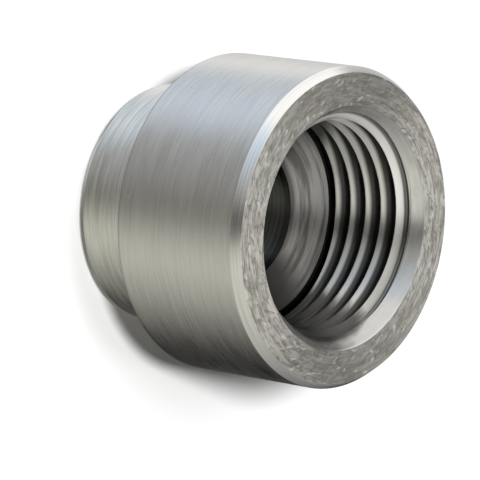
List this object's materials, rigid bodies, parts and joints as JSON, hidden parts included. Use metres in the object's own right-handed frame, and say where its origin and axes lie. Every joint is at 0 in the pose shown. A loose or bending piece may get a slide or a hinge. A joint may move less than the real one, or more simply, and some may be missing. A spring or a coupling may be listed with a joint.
{
  "type": "weld-on gauge flange",
  "caption": "Round turned-steel weld-on flange with a chamfered front face, a pipe-threaded socket for a gauge, a through hole and a smaller neck that fits into the vessel wall.",
  "frame": {"origin": "centre of the neck's flat end, on which the flange stands", "axes": "+Z is the axis of the bore, out of the threaded mouth"},
  "size_m": [0.029, 0.029, 0.0235],
  "materials": {
    "turned_steel": "bare turned steel, satin, with fine tool marks"
  },
  "bodies": {
    "root": {"weld_flange": "turned_steel"}
  },
  "joints": []
}
